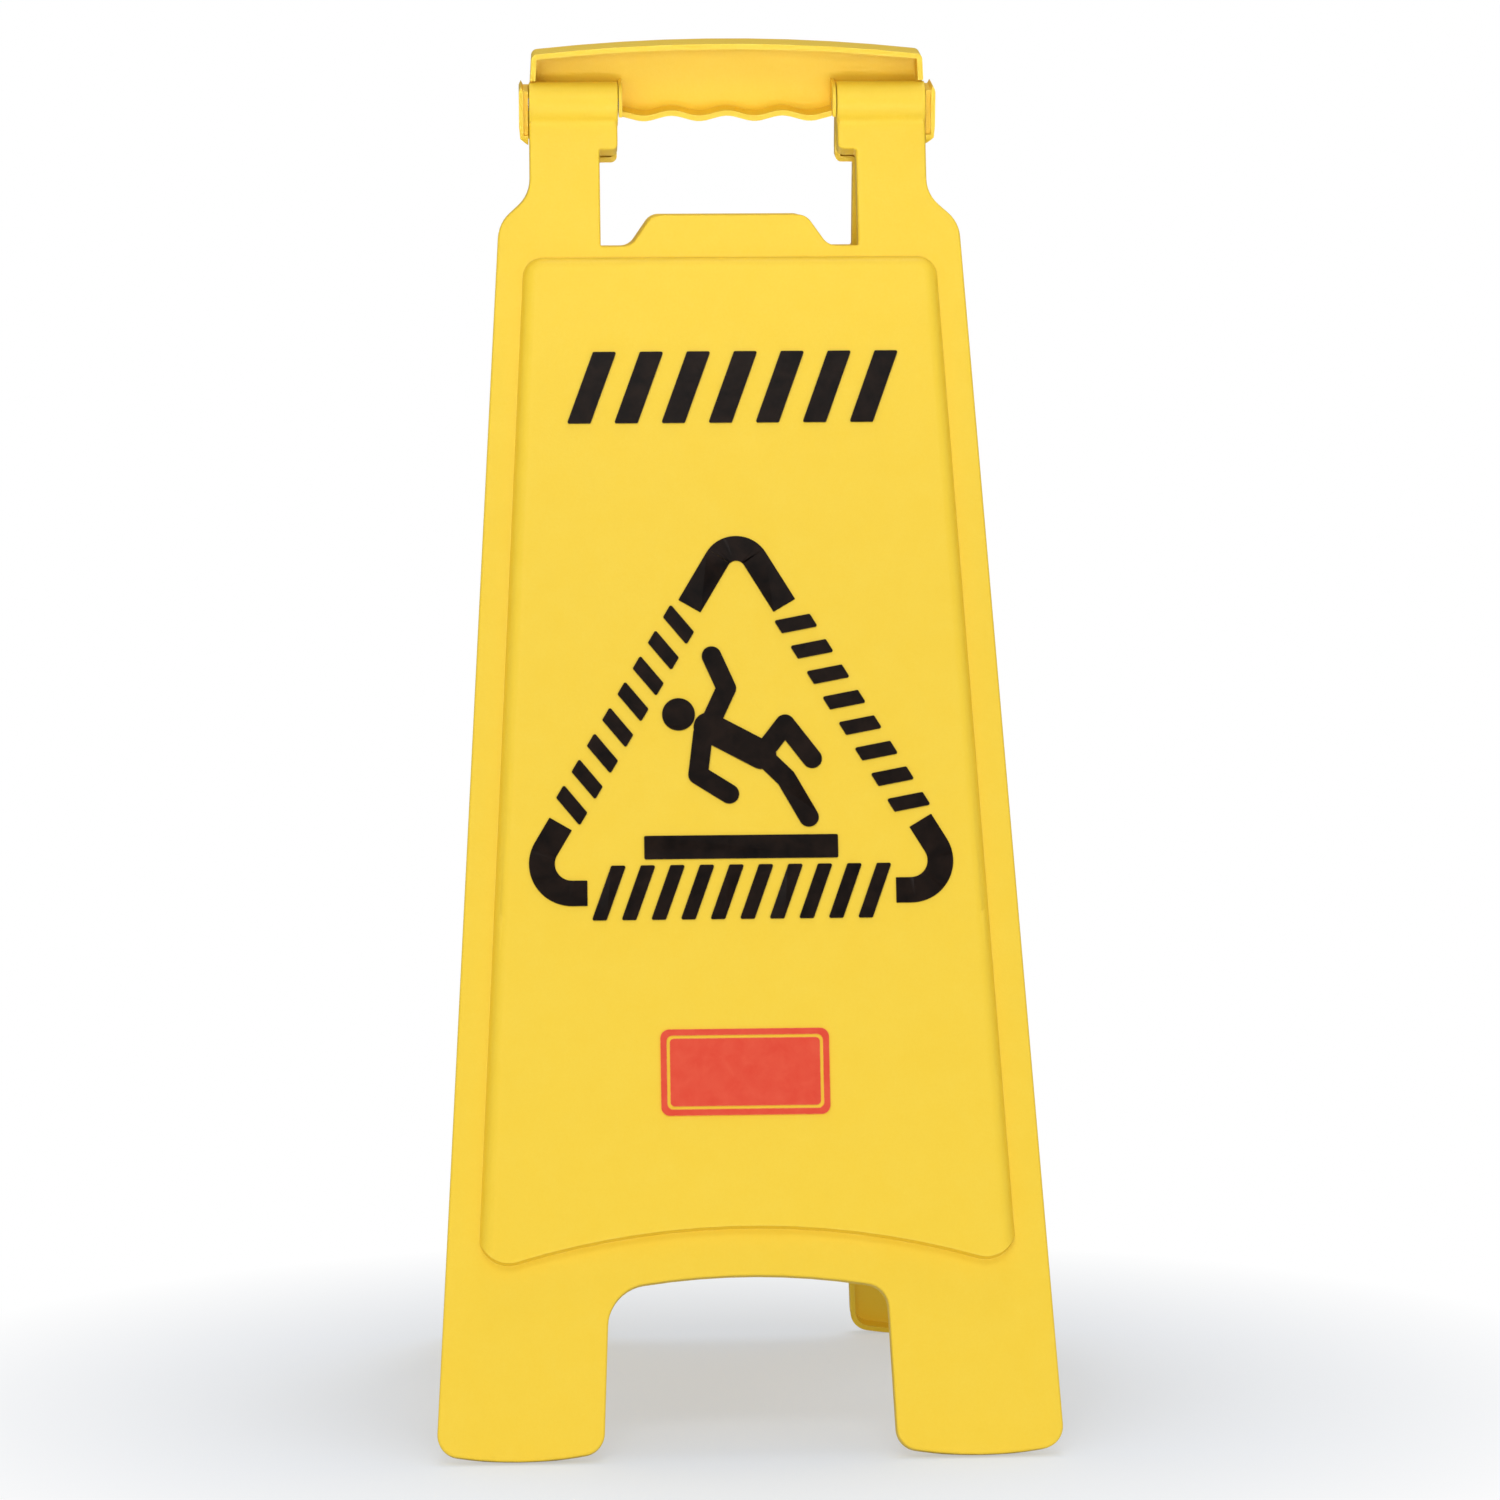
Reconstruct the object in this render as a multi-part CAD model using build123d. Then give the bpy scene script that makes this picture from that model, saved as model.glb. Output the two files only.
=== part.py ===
from build123d import *
import math
import os

# Two-sided folding floor sign, in millimetres. Both panels are drawn closed, in the hinge's own frame:
# X along the hinge axis, Z up along the panels, the front panel's face towards -Y. They are then swung open
# and lifted, so that the feet stand on Z = 0.

# Panels
panel_length = 629.0        # hinge axis to the lowest point of a foot
panel_depth = 10.0          # outer face to the parting plane
wall = 2.5                  # skin and rim thickness
opening_angle = 27.5        # between the panels when they stand on the stop
closed_gap = 0.3            # between the two rims when the sign is closed
face_to_axis = 3.5          # front panel's outer face to the hinge axis
edge_round = 1.2            # round on the outer edge of each panel's face

# Outline, measured down from the hinge axis and out from the middle
arm_half = 92.7
shoulder_step = 14.7        # how far the shoulders stand out past the arms
upper_bend_drop = 45.2
lower_bend_drop = 58.8
shoulder_round = 17.0
base_half = 140.0
foot_crown = 4.0
foot_round = 10.0
foot_flat = 0.8             # how much of the foot's crown is trimmed flat

# Hand opening
lug_inner_half = 51.5
lug_step = 8.5              # the opening widens by this much below the hinge lugs
lug_drop = 23.0
rear_lug_drop = 28.6        # the rear panel's lugs reach further down
hand_drop = 69.8
hump_height = 15.1
hump_ledge = 14.0           # flat beside the hump
hump_slope = 10.2
hump_round = 7.5
lug_round = 3.0
hand_corner_round = 1.0

# Leg cut-out, measured up from the feet
arch_height = 80.9
arch_rise = 6.0
arch_half = 62.3
leg_draft = 3.0             # how much wider the cut-out is at the floor
arch_left_round = 19.0      # upper corners, seen from the panel's own face
arch_right_round = 11.0

# Raised centre field
field_height = 5.5
field_draft = 24.0          # degrees from upright of its top and sides
field_low_draft = 9.0       # the same along its arched lower edge
field_low_margin = 0.5      # the arched edge's foot stands out this far
field_top_space = 5.7       # below the hand opening
field_bottom_height = 82.0  # its lower corners, above the feet
field_arch_rise = 20.3
field_top_margin = 12.4
field_bottom_margin = 14.5
field_crest_round = 7.0     # its upper corners at the crest, more than the edge round
field_bottom_round = 13.0
field_edge_round = 6.0      # soft round along the top and the sides

# Hinge
barrel_radius = 10.5
barrel_overhang = 0.3       # past the arm's inner edge
barrel_end_round = 0.8
cove_round = 4.0            # hollow round between a barrel and the arm below it
pin_diameter = 6.0
pin_cap = 1.5               # skin left outside a pin's blind end
pin_chamfer = 0.4
pin_running_clearance = 0.05
barrel_clearance = 0.8      # rear moulding to barrel, all round
end_clearance = 0.4         # barrel ends to the ears and ribs
web = 3.0                   # webs inside the barrel
stop_gap = 0.3              # stop nose to the handle's face, sign open
nose_low = 1.5
nose_high = 8.5
rib = 1.6                   # inner pin rib of the rear panel
rib_set_back = 0.7          # rib's edge inside the barrel's outline
rib_drop = 4.8              # where the rib ends below the hinge axis
ear_thickness = 2.0
ear_stand_out = 4.7         # past the arm's outer edge
ear_above = 9.0
ear_below = 18.5
ear_front = 7.5             # how far an ear reaches in front of the hinge axis
ear_round = 5.0
ear_curl = 9.0              # its lower end curls in over this height
ear_tip = 3.5               # and turns sharply this far up
ear_root = 5.0              # its groove and its root behind start this far up
ear_point = 2.0             # its upper edge thins out over this height
ear_groove = 2.5            # depth of the groove between an ear's cheek and the arm
ear_bulge = 4.0             # rounds on the ear's outer side

# Handle
handle_draw_in = 1.4
handle_side_rise = 23.5
handle_crown_rise = 28.5
handle_front = 2.0          # how far the handle's rims reach in front of the hinge axis
handle_corner_round = 3.0
grip_drop = 6.5             # middle of the wavy lower edge, below the hinge axis
grip_wave = 1.25
finger_pitch = 26.0
grip_thickness = 2.6

# Graphics, thin raised foil patches
foil = 0.8
foil_round = 0.8
block_space = 47.0          # from the field's top to the block of bars
block_width = 152.0
block_height = 34.0
block_bars = 7
bar_fill = 0.5              # share of the pitch that a bar fills
bar_slant = 20.0            # degrees
emblem_width = 201.4        # between the sharp corners, in the middle of its stroke
emblem_rise = 168.9
emblem_stroke = 11.7
emblem_apex_round = 10.0
emblem_base_round = 13.6
apex_leg = 42.5
corner_leg = 37.2
corner_base_leg = 30.8
side_bars = 8
side_bar_height = 15.7
base_bars = 10
base_bar_height = 25.0
band_gap = 3.0
head_radius = 7.5
limb_width = 9.0
body_width = 13.5
floor_bar_width = 88.0
floor_bar_height = 10.8
floor_bar_rise = 20.6       # above the emblem's base line
badge_width = 76.0
badge_height = 39.0
badge_round = 4.0
badge_line = 1.4

# Worked out from the sizes above
shoulder_half = arm_half + shoulder_step
leg_half = arch_half + leg_draft
hand_half = lug_inner_half + lug_step
hump_base_half = hand_half - hump_ledge
hump_top_half = hump_base_half - hump_slope
hump_drop = hand_drop - hump_height
arch_drop = panel_length - arch_height
field_top_drop = hand_drop + field_top_space
field_bottom_drop = panel_length - field_bottom_height
field_top_round = field_crest_round + field_height * math.tan(math.radians(field_draft))
barrel_inner_half = lug_inner_half - barrel_overhang
barrel_cored = barrel_radius - wall
barrel_space = barrel_radius + barrel_clearance
bore_radius = pin_diameter / 2 + pin_running_clearance
ear_outer_half = arm_half + ear_stand_out
ear_inner_half = arm_half + end_clearance
pin_end_half = ear_outer_half - pin_cap
rib_outer_half = barrel_inner_half - end_clearance
handle_top_half = arm_half - handle_draw_in
parting_y = panel_depth - face_to_axis
back_y = parting_y + panel_depth
handle_face_y = back_y - wall

# The block hangs from the field's top; the emblem and the badge share what is left evenly.
block_drop = field_top_drop + block_space + block_height / 2
emblem_overhang = base_bar_height / 2
field_end_drop = field_bottom_drop - field_arch_rise
below_block = field_end_drop - block_drop - block_height / 2
graphic_space = (below_block - emblem_rise - emblem_overhang - badge_height) / 3
emblem_apex_drop = block_drop + block_height / 2 + graphic_space
emblem_base_drop = emblem_apex_drop + emblem_rise
emblem_half = emblem_width / 2
badge_drop = emblem_base_drop + emblem_overhang + graphic_space + badge_height / 2

# Both panels lean the same either side of the parting line, which passes the hinge axis at parting_y.
offset_angle = math.degrees(math.atan(parting_y / panel_length))
front_lean = opening_angle / 2 + offset_angle
rear_lean = opening_angle / 2 - offset_angle
reach = math.hypot(panel_length, parting_y)
hinge_height = reach * math.cos(math.radians(opening_angle / 2)) - foot_flat


def edge_half(drop):
    # Half width of the panel's straight side at a distance below the axis.
    share = (drop - lower_bend_drop) / (panel_length - lower_bend_drop)
    return shoulder_half + share * (base_half - shoulder_half)


def round_corners(face, corners):
    # Each corner is given once, on the right, and is rounded on both sides.
    for x, z, radius in corners:
        for side in (-1, 1):
            corner = face.vertices().sort_by_distance((side * x, z, 0))[0]
            face = fillet(corner, radius)
    return face


def both_sides(right_half):
    left_half = mirror(right_half, about=Plane.YZ)
    return make_face(right_half.edges() + left_half.edges())


def outer_outline():
    # The panel without its openings, from the hinge axis down to the feet.
    corner_drop = panel_length - foot_crown
    outer = edge_half(corner_drop)
    side = Polyline(
        (0, 0),
        (arm_half, 0),
        (arm_half, -upper_bend_drop),
        (shoulder_half, -lower_bend_drop),
        (outer, -corner_drop),
    )
    middle = ((outer + leg_half) / 2, -panel_length)
    crown = ThreePointArc((outer, -corner_drop), middle, (leg_half, -corner_drop))
    base = Line((leg_half, -corner_drop), (0, -corner_drop))
    return both_sides(Curve() + [side, crown, base])


def leg_cutout():
    spring_z = -arch_drop - arch_rise
    side = Polyline((0, -panel_length), (leg_half, -panel_length + foot_crown), (arch_half, spring_z))
    arch_middle = (0, -arch_drop)
    left = mirror(side, about=Plane.YZ)
    arch = ThreePointArc((arch_half, spring_z), arch_middle, (-arch_half, spring_z))
    return make_face(side.edges() + left.edges() + arch.edges())


def hand_opening(lug_low):
    side = Polyline(
        (0, 1),
        (lug_inner_half, 1),
        (lug_inner_half, -lug_low),
        (hand_half, -lug_low),
        (hand_half, -hand_drop),
        (hump_base_half, -hand_drop),
        (hump_top_half, -hump_drop),
        (0, -hump_drop),
    )
    return both_sides(side)


def panel_outline(lug_low):
    corner_drop = panel_length - foot_crown
    face = outer_outline() - leg_cutout() - hand_opening(lug_low)
    corners = [
        (arm_half, -upper_bend_drop, shoulder_round),
        (shoulder_half, -lower_bend_drop, shoulder_round),
        (edge_half(corner_drop), -corner_drop, foot_round),
        (leg_half, -corner_drop, foot_round),
        (lug_inner_half, -lug_low, lug_round),
        (hand_half, -lug_low, hand_corner_round),
        (hand_half, -hand_drop, hand_corner_round),
        (hump_base_half, -hand_drop, hump_round),
        (hump_top_half, -hump_drop, hump_round),
    ]
    for side, radius in ((-1, arch_left_round), (1, arch_right_round)):
        corner = face.vertices().sort_by_distance((side * arch_half, -arch_drop - arch_rise, 0))[0]
        face = fillet(corner, radius)
    return round_corners(face, corners)


def field_corners():
    top = (edge_half(field_top_drop) - field_top_margin, -field_top_drop)
    bottom = (edge_half(field_bottom_drop) - field_bottom_margin, -field_bottom_drop)
    return top, bottom


def field_outline():
    top, bottom = field_corners()
    side = Polyline((0, -field_top_drop), top, bottom)
    left = mirror(side, about=Plane.YZ)
    arch = ThreePointArc(bottom, (0, -field_end_drop), (-bottom[0], bottom[1]))
    face = make_face(side.edges() + left.edges() + arch.edges())
    return round_corners(face, [(*top, field_top_round), (*bottom, field_bottom_round)])


def long_field_outline():
    # The field's top and sides, with the sides carried on to the feet.
    top, bottom = field_corners()
    share = (panel_length - field_top_drop) / (field_bottom_drop - field_top_drop)
    low = (top[0] + share * (bottom[0] - top[0]), -panel_length)
    face = both_sides(Polyline((0, -field_top_drop), top, low, (0, -panel_length)))
    return round_corners(face, [(*top, field_top_round)])


def facing(y):
    # A drawing plane whose normal points out of the front face.
    return Plane(origin=(0, y, 0), x_dir=(1, 0, 0), z_dir=(0, -1, 0))


def bar_x(x_from, x_to, radius):
    # A round bar along the hinge axis.
    length = abs(x_to - x_from)
    middle = (x_from + x_to) / 2
    return Pos(middle, 0, 0) * Rot(Y=90) * Cylinder(radius, length)


def block(x_range, y_range, z_range):
    size = [high - low for low, high in (x_range, y_range, z_range)]
    centre = [(high + low) / 2 for low, high in (x_range, y_range, z_range)]
    return Pos(*centre) * Box(*size)


def field_hollow(base_y):
    outline = offset(field_outline(), -wall, kind=Kind.INTERSECTION)
    return extrude(facing(base_y) * outline, field_height, taper=field_draft)


def raised_field(base_y):
    # Softly rounded along the top and the sides, crisp and nearly upright along the arched lower edge.
    soft = extrude(facing(base_y) * long_field_outline(), field_height, taper=field_draft)
    rim_edges = soft.faces().sort_by(Axis.Y)[0].edges()
    soft = fillet(rim_edges, field_edge_round)
    outline = offset(field_outline(), field_low_margin)
    crisp = extrude(facing(base_y) * outline, field_height, taper=field_low_draft)
    return soft & crisp


def panel_shell(lug_low):
    # A moulded tray: outer face towards -Y, open towards the parting plane.
    face_y = -face_to_axis
    rim_y = parting_y - closed_gap / 2
    outline = panel_outline(lug_low)
    tray = extrude(facing(rim_y) * outline, rim_y - face_y)
    front_edges = tray.faces().sort_by(Axis.Y)[0].edges()
    side_edges = [e for e in front_edges if abs((e @ 0.5).Z) > 0.01]
    tray = fillet(side_edges, edge_round)
    tray = tray + raised_field(face_y)
    inner = offset(outline, -wall, kind=Kind.INTERSECTION)
    tray = tray - extrude(facing(rim_y) * inner, rim_y - face_y - wall)
    return tray - field_hollow(face_y + wall)


def bay(ends):
    # The space inside a barrel between two webs, open behind.
    ends = sorted(ends)
    slot = block(ends, (0, 2 * barrel_radius), (-barrel_cored, barrel_cored))
    return bar_x(ends[0], ends[1], barrel_cored) + slot


def stop_nose(x):
    # Its flat end meets the inside of the handle when the sign is fully open.
    tip_y = handle_face_y - stop_gap
    nose = block((x - web / 2, x + web / 2), (0, tip_y), (nose_low, nose_high))
    return Rot(X=opening_angle) * nose


def make_barrel(side):
    # A hinge barrel, webbed inside and open behind, with two stop noses.
    inner = side * barrel_inner_half
    outer = side * arm_half
    barrel = bar_x(inner, outer, barrel_radius)
    barrel = fillet(barrel.edges().filter_by(GeomType.CIRCLE), barrel_end_round)
    webs = [inner + side * web / 2, (inner + outer) / 2, outer - side * web / 2]
    for left, right in zip(webs, webs[1:]):
        barrel -= bay([left + side * web / 2, right - side * web / 2])
    for x in webs[:2]:
        barrel += stop_nose(x)
    return barrel


def make_cove(side):
    # Fills the crease between a barrel and the arm's face below it with a hollow round.
    centre_y = -face_to_axis - cove_round
    centre_z = -math.sqrt((barrel_radius + cove_round) ** 2 - centre_y ** 2)
    touch = barrel_radius / (barrel_radius + cove_round)
    x_range = sorted([side * (lug_inner_half + edge_round), side * (arm_half - edge_round)])
    fill = block(x_range, (centre_y * touch, wall / 2 - face_to_axis), (centre_z, centre_z * touch))
    hollow = Pos(0, centre_y, centre_z) * bar_x(x_range[0] - 1, x_range[1] + 1, cove_round)
    return fill - hollow


def make_front_panel():
    panel = panel_shell(lug_drop)
    for side in (-1, 1):
        panel -= bay([side * (barrel_inner_half - 1), side * (arm_half + 1)])
        panel += make_barrel(side)
        panel += make_cove(side)
        panel -= bar_x(side * (barrel_inner_half - 1), side * (arm_half + 1), bore_radius)
    return panel


def handle_outline(low_z):
    # The handle's plate, from inside the arms up to its crowned top edge.
    side = Polyline((0, low_z), (arm_half, low_z), (arm_half, 0), (handle_top_half, handle_side_rise))
    left = mirror(side, about=Plane.YZ)
    crown = ThreePointArc(
        (handle_top_half, handle_side_rise),
        (0, handle_crown_rise),
        (-handle_top_half, handle_side_rise),
    )
    face = make_face(side.edges() + left.edges() + crown.edges())
    return round_corners(face, [(handle_top_half, handle_side_rise, handle_corner_round)])


def wave_line(z_middle, half):
    # The grip's finger waves, three points to each quarter wave.
    count = round(half / finger_pitch * 12)
    points = []
    for i in range(-count, count + 1):
        x = half * i / count
        points.append((x, z_middle + grip_wave * math.cos(2 * math.pi * x / finger_pitch)))
    return Spline(points)


def below_wave(z_middle, half):
    # Everything under a wavy line across the hand opening.
    low_z = -2 * lug_drop
    wave = wave_line(z_middle, half)
    start = wave @ 0
    end = wave @ 1
    box = Polyline(start, (start.X, low_z), (end.X, low_z), end)
    return make_face(wave.edges() + box.edges())


def make_handle():
    # Drawn like the panels, with the outer face towards -Y, and turned with the rear panel.
    depth = back_y + handle_front
    outer_y = -face_to_axis
    outline = handle_outline(-lug_drop) - below_wave(-grip_drop, lug_inner_half)
    plate = extrude(facing(outer_y + depth) * outline, depth)
    back_edges = [e for e in plate.faces().sort_by(Axis.Y)[0].edges() if (e @ 0.5).Z > 1]
    plate = fillet(back_edges, edge_round)
    pocket = offset(handle_outline(-lug_drop - 2 * wall), -wall, kind=Kind.INTERSECTION)
    pocket -= below_wave(grip_thickness - grip_drop, rib_outer_half - rib / 2)
    plate -= extrude(facing(outer_y + depth) * pocket, depth - wall)
    rims = (parting_y - closed_gap / 2, outer_y + depth + 1)
    for side in (-1, 1):
        arm = sorted([side * rib_outer_half, side * (arm_half + 1)])
        plate -= block(arm, rims, (-lug_drop - 1, barrel_space))
    return plate


def make_rib(side):
    # The plate beside the barrel's inner end, which holds the pin.
    x_range = sorted([side * rib_outer_half, side * (rib_outer_half - rib)])
    radius = barrel_radius - rib_set_back
    plate = bar_x(x_range[0], x_range[1], radius)
    plate -= block(x_range, (-radius, radius), (-radius, -rib_drop))
    foot = block(x_range, (0, handle_face_y + wall / 2), (-rib_drop, radius))
    return plate + foot


def ear_profile():
    # Seen from the front: pointed above, bulging out, and curled in towards the arm below.
    outer = ear_outer_half
    inner = outer - ear_thickness
    shoulder_z = ear_above - ear_point
    curl_z = ear_curl - ear_below
    face = make_face(Polyline(
        (ear_inner_half, -ear_below),
        (outer - ear_thickness / 4, ear_tip - ear_below),
        (outer, curl_z),
        (outer, shoulder_z),
        (outer - ear_thickness / 2, ear_above),
        (inner, shoulder_z),
        (ear_inner_half, shoulder_z),
        close=True,
    ))
    for x, z in ((outer, curl_z), (outer, shoulder_z)):
        corner = face.vertices().sort_by_distance((x, z, 0))[0]
        face = fillet(corner, ear_bulge)
    return face


def make_ear(side):
    # A solid cheek round the barrel's outer end, grooved beside the arm, with roots on the panel behind.
    height = ear_above + ear_below
    middle = (ear_above - ear_below) / 2
    depth = back_y + ear_front
    cheek = extrude(facing(back_y) * ear_profile(), depth)
    side_plane = Plane(origin=(0, back_y, middle), x_dir=(0, 1, 0), z_dir=(1, 0, 0))
    side_view = side_plane * RectangleRounded(2 * depth, height, ear_round)
    cheek = cheek & extrude(side_view, ear_outer_half + 1)
    inner = ear_outer_half - ear_thickness
    groove_y = (-ear_front - 1, ear_groove - ear_front)
    cheek -= block((ear_inner_half - 1, inner), groove_y, (ear_root - ear_below, ear_above))
    root = arm_half - wall
    tab_z = (ear_root - ear_below, ear_above - ear_point)
    tab = block((root, ear_outer_half), (handle_face_y, back_y), tab_z)
    foot_z = (ear_root / 4 - ear_below, ear_root * 1.4 - ear_below)
    foot = block((root, ear_outer_half - ear_thickness / 2), (parting_y + closed_gap, back_y), foot_z)
    ear = cheek + tab + foot
    if side < 0:
        ear = mirror(ear, about=Plane.YZ)
    return ear


def turned(shape):
    # From the front panel's place to the rear panel's, both closed.
    return Pos(0, 2 * parting_y, 0) * Rot(Z=180) * shape


def make_rear_panel():
    panel = turned(panel_shell(rear_lug_drop) + make_handle())
    for side in (-1, 1):
        panel -= bar_x(side * (rib_outer_half - rib), side * ear_inner_half, barrel_space)
    for side in (-1, 1):
        panel = panel + make_rib(side) + make_ear(side)
        panel -= bar_x(side * (rib_outer_half - 2 * rib), side * pin_end_half, pin_diameter / 2)
    return panel


def make_pin(side):
    # Pushed in from the hand opening, through the rib and the barrel, to the bottom of the ear's blind hole.
    pin = bar_x(side * (rib_outer_half - rib), side * pin_end_half, pin_diameter / 2)
    return chamfer(pin.edges().filter_by(GeomType.CIRCLE), pin_chamfer)


def trimmed_feet(panel):
    # The feet's crowns are cut flat where the open sign stands.
    side = 2 * panel_length
    return panel - Pos(0, 0, -side / 2) * Box(side, side, side)


def slant_bars(count, length, height):
    # A row of slanted bars that fills a length, centred on the origin.
    pitch = length / count
    half = pitch * bar_fill / 2
    low = height / 2
    lean = low * math.tan(math.radians(bar_slant))
    corners = [(-half - lean, -low), (half - lean, -low), (half + lean, low), (lean - half, low)]
    bar = make_face(Polyline(*corners, close=True))
    bar = fillet(bar.vertices(), foil_round)
    row = Sketch()
    for i in range(count):
        row += Pos((i + 0.5) * pitch - length / 2, 0) * bar
    return row


def emblem_side():
    # Direction and length of one slanted side of the emblem, from the apex to a base corner.
    rise = emblem_base_drop - emblem_apex_drop
    length = math.hypot(emblem_half, rise)
    return emblem_half / length, -rise / length, length


def along_side(side, distance):
    across, down, _ = emblem_side()
    return side * across * distance, -emblem_apex_drop + down * distance


def emblem_triangle(outward):
    # The emblem's triangle, moved outward from the middle of its stroke.
    corners = [(0, -emblem_apex_drop), (emblem_half, -emblem_base_drop), (-emblem_half, -emblem_base_drop)]
    face = offset(make_face(Polyline(*corners, close=True)), outward, kind=Kind.INTERSECTION)
    apex = face.vertices().sort_by(Axis.Y)[-1]
    face = fillet(apex, emblem_apex_round + outward)
    for side in (-1, 1):
        corner = face.vertices().sort_by(Axis.Y)[:2].sort_by(Axis.X)[0 if side < 0 else -1]
        face = fillet(corner, emblem_base_round + outward)
    return face


def emblem_corners():
    # The triangle's stroke, cut away along the middle of each side.
    length = emblem_side()[2]
    cut_height = 3 * emblem_stroke
    ring = emblem_triangle(emblem_stroke / 2) - emblem_triangle(-emblem_stroke / 2)
    middle = (apex_leg + length - corner_leg) / 2
    side_cut = Rectangle(length - corner_leg - apex_leg, cut_height)
    for side in (-1, 1):
        x, z = along_side(side, middle)
        ring -= Pos(x, z) * Rot(Z=-side * side_angle()) * side_cut
    ring -= Pos(0, -emblem_base_drop) * Rectangle(2 * (emblem_half - corner_base_leg), cut_height)
    return ring


def side_angle():
    return math.degrees(math.atan2(emblem_base_drop - emblem_apex_drop, emblem_half))


def emblem_side_bars(side):
    length = emblem_side()[2]
    start = apex_leg + band_gap
    end = length - corner_leg - band_gap
    x, z = along_side(side, (start + end) / 2)
    row = slant_bars(side_bars, end - start, side_bar_height)
    return Pos(x, z) * Rot(Z=-side * side_angle()) * row


def emblem_base_bars():
    length = 2 * (emblem_half - corner_base_leg - band_gap)
    return Pos(0, -emblem_base_drop) * slant_bars(base_bars, length, base_bar_height)


def top_block():
    return Pos(0, -block_drop) * slant_bars(block_bars, block_width, block_height)


def limb(points, width):
    # A round-ended stroke through a few joints.
    shape = Sketch()
    for start, end in zip(points, points[1:]):
        run = (end[0] - start[0], end[1] - start[1])
        middle = ((start[0] + end[0]) / 2, (start[1] + end[1]) / 2)
        angle = math.degrees(math.atan2(run[1], run[0]))
        shape += Pos(*middle) * Rot(Z=angle) * SlotCenterToCenter(math.hypot(*run), width)
    return shape


def slip_figure():
    # A figure that falls backwards, one arm up and both feet going forwards. The joints are measured from the
    # middle of the emblem's base line.
    neck = (-14.0, 76.0)
    hip = (10.0, 63.0)
    figure = limb([neck, hip], body_width)
    figure += limb([neck, (-5.5, 94.0), (-12.0, 109.0)], limb_width)
    figure += limb([(-16.5, 73.0), (-19.0, 54.0), (-5.0, 45.0)], limb_width)
    figure += limb([hip, (21.0, 77.0), (33.0, 61.0)], limb_width)
    figure += limb([hip, (21.0, 52.0), (31.0, 34.0)], limb_width)
    return figure


def figure_head():
    return Pos(-27.5, 82.0) * Circle(head_radius)


def floor_bar():
    return Pos(0, floor_bar_rise) * RectangleRounded(floor_bar_width, floor_bar_height, foil_round)


def badge():
    # A plain rounded label with a thin line let into it near its edge.
    layers = []
    for lines_in in (0, 2, 3):
        inset = lines_in * badge_line
        radius = badge_round * (1 - lines_in / 6)
        layers.append(RectangleRounded(badge_width - 2 * inset, badge_height - 2 * inset, radius))
    return Pos(0, -badge_drop) * (layers[0] - layers[1] + layers[2])


def graphics():
    emblem_base = Pos(0, -emblem_base_drop)
    return {
        "hazard_bars": top_block(),
        "triangle_corners": emblem_corners(),
        "edge_bars_left": emblem_side_bars(-1),
        "edge_bars_right": emblem_side_bars(1),
        "edge_bars_bottom": emblem_base_bars(),
        "slip_figure": emblem_base * slip_figure(),
        "figure_head": emblem_base * figure_head(),
        "floor_bar": emblem_base * floor_bar(),
        "badge": badge(),
    }


front_place = Pos(0, 0, hinge_height) * Rot(X=-front_lean)
rear_place = Pos(0, 0, hinge_height) * Rot(X=rear_lean)
nodes = {
    "front_panel": trimmed_feet(front_place * make_front_panel()),
    "rear_panel": trimmed_feet(rear_place * make_rear_panel()),
    "hinge_pin_left": rear_place * make_pin(-1),
    "hinge_pin_right": rear_place * make_pin(1),
}
field_y = -face_to_axis - field_height
for name, sketch in graphics().items():
    patch = extrude(facing(field_y) * sketch, foil)
    nodes["front_" + name] = front_place * patch
    nodes["rear_" + name] = rear_place * turned(patch)

os.makedirs("parts", exist_ok=True)
for name, shape in nodes.items():
    export_step(shape, "parts/" + name + ".step")
    print(name, round(shape.volume), len(shape.solids()))
print("hinge height", round(hinge_height, 3))
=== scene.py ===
import math

import bmesh
import bpy
from mathutils import Matrix, Vector

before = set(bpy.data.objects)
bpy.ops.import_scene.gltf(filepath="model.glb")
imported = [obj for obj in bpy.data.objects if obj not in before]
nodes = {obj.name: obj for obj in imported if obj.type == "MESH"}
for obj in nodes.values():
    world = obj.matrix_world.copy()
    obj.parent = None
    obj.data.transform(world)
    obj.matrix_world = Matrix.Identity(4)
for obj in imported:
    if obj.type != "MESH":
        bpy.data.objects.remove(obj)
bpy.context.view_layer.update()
scene = bpy.context.scene
print("frame loaded:", len(nodes), "nodes")

mmPerMetre = 1000.0
noiseSpread = (0.3, 0.7)  # where nearly all of a noise's values lie


# helpers for the node trees
def addNode(tree, kind, **settings):
    node = tree.nodes.new(kind)
    for name, value in settings.items():
        if name == "values":
            for socket, number in value.items():
                node.inputs[socket].default_value = number
        else:
            setattr(node, name, value)
    return node


def newGroup(name, inputs, outputs):
    group = bpy.data.node_groups.new(name, "ShaderNodeTree")
    for label, kind, start in inputs:
        socket = group.interface.new_socket(label, in_out="INPUT", socket_type=kind)
        socket.default_value = start
    for label, kind in outputs:
        group.interface.new_socket(label, in_out="OUTPUT", socket_type=kind)
    ends = addNode(group, "NodeGroupInput"), addNode(group, "NodeGroupOutput")
    return group, ends[0], ends[1]


def useGroup(tree, group, **values):
    node = addNode(tree, "ShaderNodeGroup")
    node.node_tree = group
    for socket in node.inputs:
        key = socket.name[0].lower() + socket.name[1:].replace(" ", "")
        if key in values:
            socket.default_value = values[key]
    return node


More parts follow.
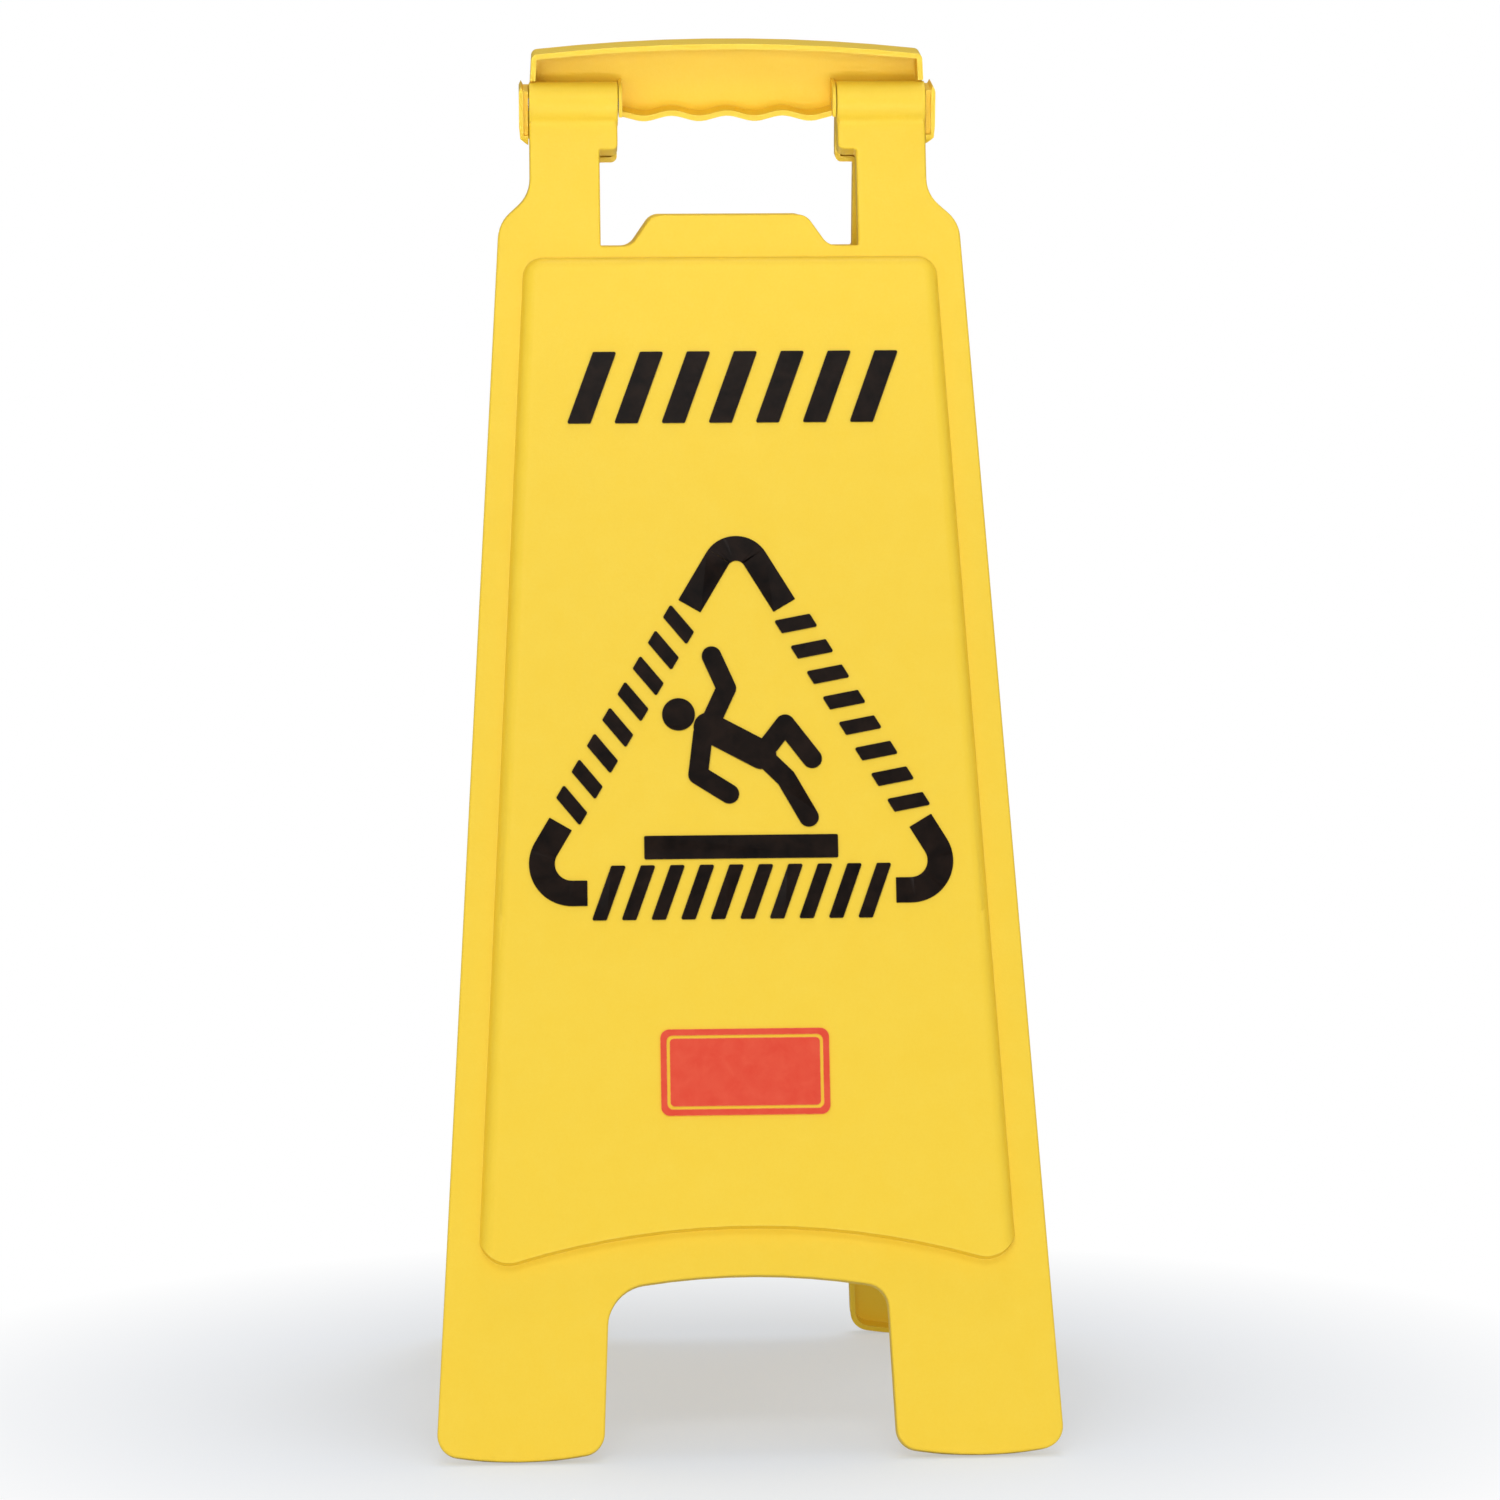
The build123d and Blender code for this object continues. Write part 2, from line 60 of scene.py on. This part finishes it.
def mathNode(tree, operation, first, second=0.0, third=0.0, clamp=False):
    node = addNode(tree, "ShaderNodeMath", operation=operation, use_clamp=clamp)
    for socket, value in zip(node.inputs, (first, second, third)):
        if isinstance(value, (int, float)):
            socket.default_value = value
        else:
            tree.links.new(value, socket)
    return node.outputs[0]


def mixColour(tree, factor, first, second):
    node = addNode(tree, "ShaderNodeMix", data_type="RGBA")
    for socket, value in ((node.inputs["Factor"], factor), (node.inputs[6], first), (node.inputs[7], second)):
        if isinstance(value, bpy.types.NodeSocket):
            tree.links.new(value, socket)
        else:
            socket.default_value = value
    return node.outputs[2]


def stretch(tree, value, low, high, outLow=0.0, outHigh=1.0):
    # the span from low to high becomes the span from outLow to outHigh
    node = addNode(tree, "ShaderNodeMapRange", clamp=True)
    tree.links.new(value, node.inputs["Value"])
    for name, number in (("From Min", low), ("From Max", high), ("To Min", outLow), ("To Max", outHigh)):
        node.inputs[name].default_value = number
    return node.outputs["Result"]


def addBump(tree, height, strength, depth, shader):
    bump = addNode(tree, "ShaderNodeBump", values={"Strength": strength, "Distance": depth})
    tree.links.new(height, bump.inputs["Height"])
    tree.links.new(bump.outputs["Normal"], shader.inputs["Normal"])


def rgba(red, green, blue):
    return (red, green, blue, 1.0)


# effects shared by the materials
def makeMouldGrain():
    # the fine leathery texture of a moulded skin, and slow uneven patches of tone
    group, start, end = newGroup(
        "mouldGrain",
        [("Grain Size", "NodeSocketFloat", 1.2), ("Patch Size", "NodeSocketFloat", 14.0)],
        [("Height", "NodeSocketFloat"), ("Speckle", "NodeSocketFloat"), ("Patches", "NodeSocketFloat")],
    )
    place = addNode(group, "ShaderNodeTexCoord")
    millimetres = addNode(group, "ShaderNodeVectorMath", operation="SCALE")
    millimetres.inputs["Scale"].default_value = mmPerMetre
    group.links.new(place.outputs["Object"], millimetres.inputs[0])
    fineScale = mathNode(group, "DIVIDE", 1.0, start.outputs["Grain Size"])
    patchScale = mathNode(group, "DIVIDE", 1.0, start.outputs["Patch Size"])
    fine = addNode(group, "ShaderNodeTexNoise", values={"Detail": 3.0, "Roughness": 0.6})
    pebble = addNode(group, "ShaderNodeTexVoronoi", feature="SMOOTH_F1", values={"Smoothness": 0.6})
    slow = addNode(group, "ShaderNodeTexNoise", values={"Detail": 4.0, "Roughness": 0.55, "Distortion": 0.4})
    for texture, scale in ((fine, fineScale), (pebble, fineScale), (slow, patchScale)):
        group.links.new(millimetres.outputs[0], texture.inputs["Vector"])
        group.links.new(scale, texture.inputs["Scale"])
    pebbleShare = 0.5
    mixed = mathNode(group, "MULTIPLY_ADD", pebble.outputs["Distance"], pebbleShare, fine.outputs["Fac"])
    group.links.new(mixed, end.inputs["Height"])
    group.links.new(stretch(group, fine.outputs["Fac"], *noiseSpread), end.inputs["Speckle"])
    group.links.new(stretch(group, slow.outputs["Fac"], *noiseSpread), end.inputs["Patches"])
    return group


def makeEdgeRubAndHighlight():
    # a broken line of rubbing and painted highlight along every outside edge, by comparing the face with its
    # rounded neighbour
    group, start, end = newGroup(
        "edgeRub",
        [("Width", "NodeSocketFloat", 0.0012), ("Breakup", "NodeSocketFloat", 5.0),
         ("Strength", "NodeSocketFloat", 1.0)],
        [("Mask", "NodeSocketFloat")],
    )
    rounded = addNode(group, "ShaderNodeBevel", samples=6)
    face = addNode(group, "ShaderNodeNewGeometry")
    group.links.new(start.outputs["Width"], rounded.inputs["Radius"])
    facing = addNode(group, "ShaderNodeVectorMath", operation="DOT_PRODUCT")
    group.links.new(rounded.outputs["Normal"], facing.inputs[0])
    group.links.new(face.outputs["Normal"], facing.inputs[1])
    bend = mathNode(group, "SUBTRACT", 1.0, facing.outputs["Value"], clamp=True)
    place = addNode(group, "ShaderNodeTexCoord")
    millimetres = addNode(group, "ShaderNodeVectorMath", operation="SCALE")
    millimetres.inputs["Scale"].default_value = mmPerMetre
    group.links.new(place.outputs["Object"], millimetres.inputs[0])
    breaks = addNode(group, "ShaderNodeTexNoise", values={"Detail": 4.0, "Roughness": 0.65})
    group.links.new(millimetres.outputs[0], breaks.inputs["Vector"])
    group.links.new(mathNode(group, "DIVIDE", 1.0, start.outputs["Breakup"]), breaks.inputs["Scale"])
    broken = stretch(group, breaks.outputs["Fac"], 0.35, 0.65)  # sharper breaks than the noise's own
    wide = stretch(group, bend, 0.02, 0.25)  # from a hardly bent normal to a full edge
    mask = mathNode(group, "MULTIPLY", mathNode(group, "MULTIPLY", wide, broken), start.outputs["Strength"])
    group.links.new(mask, end.inputs["Mask"])
    return group


mouldGrain = makeMouldGrain()
edgeRub = makeEdgeRubAndHighlight()
print("shared effects made")


def newMaterial(name):
    material = bpy.data.materials.new(name)
    material.use_nodes = True
    tree = material.node_tree
    return material, tree, tree.nodes["Principled BSDF"]


# the yellow plastic of both panels; sizes in millimetres, depths in metres
yellowPlastic = {
    "tone": rgba(0.905, 0.610, 0.035),
    "paleTone": rgba(0.910, 0.625, 0.043),
    "deepTone": rgba(0.890, 0.580, 0.025),
    # lighter tone for the edges: partly rubbing, partly a painted highlight
    "rubbedTone": rgba(0.930, 0.710, 0.120),
    "roughness": (0.44, 0.56),
    "grainSize": 1.1,
    "patchSize": 16.0,
    "grainDepth": 0.00012,
    "grainStrength": 0.35,
    "speckle": 0.35,
    "rubWidth": 0.0015,
    "rubBreakup": 6.0,
    "rub": 0.8,
    "ior": 1.49,
}


def makeYellowPlastic(look):
    material, tree, shader = newMaterial("yellowPlastic")
    grain = useGroup(tree, mouldGrain, grainSize=look["grainSize"], patchSize=look["patchSize"])
    rub = useGroup(tree, edgeRub, width=look["rubWidth"], breakup=look["rubBreakup"], strength=look["rub"])
    patches = mixColour(tree, grain.outputs["Patches"], look["tone"], look["paleTone"])
    speckle = mathNode(tree, "MULTIPLY", grain.outputs["Speckle"], look["speckle"])
    speckled = mixColour(tree, speckle, patches, look["deepTone"])
    # the edges are lighter here: partly rubbing, partly a painted highlight
    colour = mixColour(tree, rub.outputs["Mask"], speckled, look["rubbedTone"])
    tree.links.new(colour, shader.inputs["Base Color"])
    low, high = look["roughness"]
    tree.links.new(stretch(tree, grain.outputs["Speckle"], 0.0, 1.0, low, high), shader.inputs["Roughness"])
    addBump(tree, grain.outputs["Height"], look["grainStrength"], look["grainDepth"], shader)
    shader.inputs["IOR"].default_value = look["ior"]
    return material


# the stamped foil of the graphics
blackFoil = {
    "tone": rgba(0.0040, 0.0024, 0.0018),
    # brown patches of pale tone: partly uneven foil, partly painted sheen
    "paleTone": rgba(0.0150, 0.0078, 0.0050),
    "rubbedTone": rgba(0.16, 0.10, 0.045),
    "roughness": (0.30, 0.42),
    "specular": 0.12,
    "grainSize": 1.6,
    "patchSize": 9.0,
    "grainDepth": 0.00005,
    "grainStrength": 0.3,
    "rubWidth": 0.0007,
    "rubBreakup": 1.8,
    "rub": 0.9,
}
redFoil = {
    "tone": rgba(0.74, 0.058, 0.026),
    "paleTone": rgba(0.78, 0.085, 0.040),
    "rubbedTone": rgba(0.90, 0.40, 0.12),
    "roughness": (0.30, 0.44),
    "specular": 0.35,
    "grainSize": 1.6,
    "patchSize": 7.0,
    "grainDepth": 0.00005,
    "grainStrength": 0.3,
    "rubWidth": 0.0007,
    "rubBreakup": 1.8,
    "rub": 0.9,
}


def makeFoil(name, look):
    material, tree, shader = newMaterial(name)
    grain = useGroup(tree, mouldGrain, grainSize=look["grainSize"], patchSize=look["patchSize"])
    rub = useGroup(tree, edgeRub, width=look["rubWidth"], breakup=look["rubBreakup"], strength=look["rub"])
    base = mixColour(tree, grain.outputs["Patches"], look["tone"], look["paleTone"])
    # the foil edges are lighter here: partly rubbed foil, partly a painted highlight
    colour = mixColour(tree, rub.outputs["Mask"], base, look["rubbedTone"])
    tree.links.new(colour, shader.inputs["Base Color"])
    low, high = look["roughness"]
    tree.links.new(stretch(tree, grain.outputs["Speckle"], 0.0, 1.0, low, high), shader.inputs["Roughness"])
    addBump(tree, grain.outputs["Height"], look["grainStrength"], look["grainDepth"], shader)
    shader.inputs["Specular IOR Level"].default_value = look["specular"]
    return material


# the drawn steel of the hinge pins
pinSteel = {
    "tone": rgba(0.56, 0.56, 0.57),
    "paleTone": rgba(0.66, 0.66, 0.67),
    "roughness": (0.22, 0.36),
    "lineSize": 0.25,
    "lineLength": 25.0,
    "lineDepth": 0.00002,
    "lineStrength": 0.2,
}


def makePinSteel(look):
    material, tree, shader = newMaterial("pinSteel")
    place = addNode(tree, "ShaderNodeTexCoord")
    along = addNode(tree, "ShaderNodeMapping")
    across = mmPerMetre / look["lineSize"]
    along.inputs["Scale"].default_value = (mmPerMetre / look["lineLength"], across, across)
    tree.links.new(place.outputs["Object"], along.inputs["Vector"])
    lines = addNode(tree, "ShaderNodeTexNoise", values={"Scale": 1.0, "Detail": 3.0})
    tree.links.new(along.outputs["Vector"], lines.inputs["Vector"])
    drawn = stretch(tree, lines.outputs["Fac"], *noiseSpread)
    tree.links.new(mixColour(tree, drawn, look["tone"], look["paleTone"]), shader.inputs["Base Color"])
    low, high = look["roughness"]
    tree.links.new(stretch(tree, drawn, 0.0, 1.0, low, high), shader.inputs["Roughness"])
    addBump(tree, drawn, look["lineStrength"], look["lineDepth"], shader)
    shader.inputs["Metallic"].default_value = 1.0
    return material


finishes = {
    "panel": makeYellowPlastic(yellowPlastic),
    "badge": makeFoil("redFoil", redFoil),
    "pin": makePinSteel(pinSteel),
    "foil": makeFoil("blackFoil", blackFoil),
}


def finishOf(name):
    for word in ("panel", "badge", "pin"):
        if word in name:
            return finishes[word]
    return finishes["foil"]


# the foil sits on raised moulding, whose edges are slightly round
foilEdge = {"round": 0.0003, "steps": 2, "sharpFrom": 30.0, "weld": 0.00001}


def roundFoilEdges(piece, look):
    weld = piece.modifiers.new("weld", "WELD")
    weld.merge_threshold = look["weld"]
    edge = piece.modifiers.new("roundEdge", "BEVEL")
    edge.width = look["round"]
    edge.segments = look["steps"]
    edge.limit_method = "ANGLE"
    edge.angle_limit = math.radians(look["sharpFrom"])
    edge.harden_normals = True


for name, piece in nodes.items():
    piece.data.materials.clear()
    piece.data.materials.append(finishOf(name))
    if "panel" not in name and "pin" not in name:
        roundFoilEdges(piece, foilEdge)
print("finishes given to", len(nodes), "nodes")

# floor, light and camera, in metres, watts and degrees
studio = {
    "floorHalf": 9.0,
    "floorRoughness": 0.9,
    "floorSpecular": 0.1,
    "floorTone": rgba(0.72, 0.79, 0.90),
    "floorFade": (0.17, 0.45),
    "floorGlow": 0.42,
    "skyBright": 0.43,
    "skyInGloss": 0.22,
    "camera": (-0.100, -2.2974, 0.4505),
    "aim": (-3.578, -2.713, -0.382),  # tilt, turn and roll in degrees
    "lens": 117.0,
    "sensor": 36.0,
}
lights = {
    "keyLight": {
        "place": (-1.1, -3.2, 0.65), "aim": (0.0, 0.0, 0.30), "size": (2.2, 1.3),
        "power": 29.0, "spread": 180.0, "gloss": False,
    },
    "fillLight": {
        "place": (1.9, -2.3, 0.45), "aim": (0.0, 0.0, 0.40), "size": (1.2, 0.9),
        "power": 6.0, "spread": 180.0, "gloss": False,
    },
    "lowLight": {
        "place": (0.1, -1.5, 0.20), "aim": (0.0, 0.0, 0.20), "size": (0.5, 0.2),
        "power": 2.7, "spread": 180.0, "gloss": False,
    },
    "handleLight": {
        "place": (0.05, -1.3, 0.14), "aim": (0.0, 0.0, 0.64), "size": (0.35, 0.20),
        "power": 0.043, "spread": 16.0, "gloss": True,
    },
    "upperLight": {
        "place": (-0.1, -1.9, 1.95), "aim": (0.0, 0.0, 0.50), "size": (1.0, 0.5),
        "power": 9.5, "spread": 180.0, "gloss": True,
    },
    "topLight": {
        "place": (0.1, 0.3, 3.0), "aim": (0.0, 0.0, 0.0), "size": (1.0, 1.0),
        "power": 16.0, "spread": 180.0, "gloss": True,
    },
}


def makeFloor():
    half = studio["floorHalf"]
    mesh = bpy.data.meshes.new("floor")
    bm = bmesh.new()
    corners = [bm.verts.new((x * half, y * half, 0.0)) for x, y in ((-1, -1), (1, -1), (1, 1), (-1, 1))]
    bm.faces.new(corners)
    bm.to_mesh(mesh)
    bm.free()
    floor = bpy.data.objects.new("floor", mesh)
    scene.collection.objects.link(floor)
    material, tree, shader = newMaterial("floorPaint")
    shader.inputs["Base Color"].default_value = studio["floorTone"]
    shader.inputs["Roughness"].default_value = studio["floorRoughness"]
    shader.inputs["Specular IOR Level"].default_value = studio["floorSpecular"]
    # away from the sign the floor runs into the white of the backdrop
    place = addNode(tree, "ShaderNodeTexCoord")
    away = addNode(tree, "ShaderNodeVectorMath", operation="LENGTH")
    tree.links.new(place.outputs["Object"], away.inputs[0])
    near, far = studio["floorFade"]
    seen = addNode(tree, "ShaderNodeLightPath")
    spread = stretch(tree, away.outputs["Value"], near, far, studio["floorGlow"], 1.0)
    fade = mathNode(tree, "MULTIPLY", spread, seen.outputs["Is Camera Ray"])
    glow = addNode(tree, "ShaderNodeEmission")
    blend = addNode(tree, "ShaderNodeMixShader")
    for source, socket in ((fade, 0), (shader.outputs[0], 1), (glow.outputs[0], 2)):
        tree.links.new(source, blend.inputs[socket])
    tree.links.new(blend.outputs[0], tree.nodes["Material Output"].inputs["Surface"])
    mesh.materials.append(material)


def makeLight(name, look):
    data = bpy.data.lights.new(name, "AREA")
    data.shape = "RECTANGLE"
    data.size, data.size_y = look["size"]
    data.energy = look["power"]
    data.spread = math.radians(look["spread"])
    light = bpy.data.objects.new(name, data)
    light.location = look["place"]
    light.visible_glossy = look["gloss"]
    towards = Vector(look["aim"]) - Vector(look["place"])
    light.rotation_euler = towards.to_track_quat("-Z", "Y").to_euler()
    scene.collection.objects.link(light)


def makeSky():
    world = bpy.data.worlds.new("studioSky")
    scene.world = world
    world.use_nodes = True
    tree = world.node_tree
    background = tree.nodes["Background"]
    seen = addNode(tree, "ShaderNodeLightPath")
    # dimmer in reflections than as light, and plain white to the camera
    bright, inGloss = studio["skyBright"], studio["skyInGloss"]
    sky = stretch(tree, seen.outputs["Is Glossy Ray"], 0.0, 1.0, bright, inGloss)
    strength = mathNode(tree, "MAXIMUM", sky, seen.outputs["Is Camera Ray"])
    background.inputs["Color"].default_value = rgba(1.0, 1.0, 1.0)
    tree.links.new(strength, background.inputs["Strength"])


def makeCamera():
    data = bpy.data.cameras.new("camera")
    data.lens = studio["lens"]
    data.sensor_width = studio["sensor"]
    camera = bpy.data.objects.new("camera", data)
    tilt, turn, roll = (math.radians(angle) for angle in studio["aim"])
    level = math.pi / 2  # a camera that isn't turned looks straight down
    aim = Matrix.Rotation(turn, 3, "Z") @ Matrix.Rotation(level + tilt, 3, "X")
    camera.location = studio["camera"]
    camera.rotation_euler = (aim @ Matrix.Rotation(roll, 3, "Z")).to_euler()
    scene.collection.objects.link(camera)
    scene.camera = camera


makeFloor()
makeSky()
for name, look in lights.items():
    makeLight(name, look)
makeCamera()
scene.view_settings.view_transform = "Standard"
print("floor, light and camera placed")
